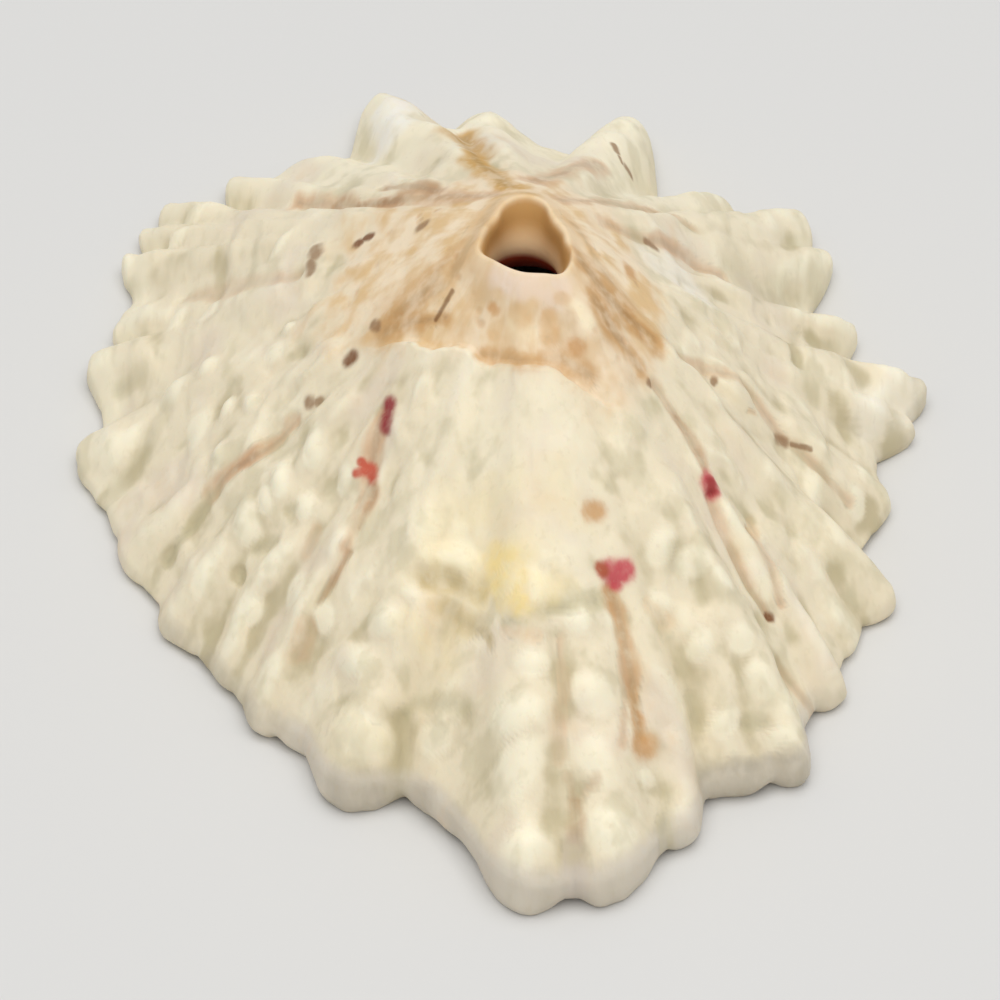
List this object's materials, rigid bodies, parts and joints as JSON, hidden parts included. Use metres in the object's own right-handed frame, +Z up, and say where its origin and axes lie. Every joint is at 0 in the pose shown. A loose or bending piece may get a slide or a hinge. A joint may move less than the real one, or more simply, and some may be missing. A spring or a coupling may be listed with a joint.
{
  "type": "keyhole limpet shell",
  "caption": "Low ribbed conical sea shell with a keyhole worn through its top and a hollow underneath, resting on its toothed margin.",
  "frame": {"origin": "on the resting surface, under the middle of the shell's bounding box", "axes": "+Z up through the keyhole's end of the cone, +Y along the shell towards its broad hind end, +X to the right when looking along +Y"},
  "size_m": [0.0262, 0.034, 0.0126],
  "materials": {
    "shell": "chalky cream shell outside with tan and pink stains, porcelain white inside"
  },
  "bodies": {
    "root": {"limpet_shell": "shell"}
  },
  "joints": []
}
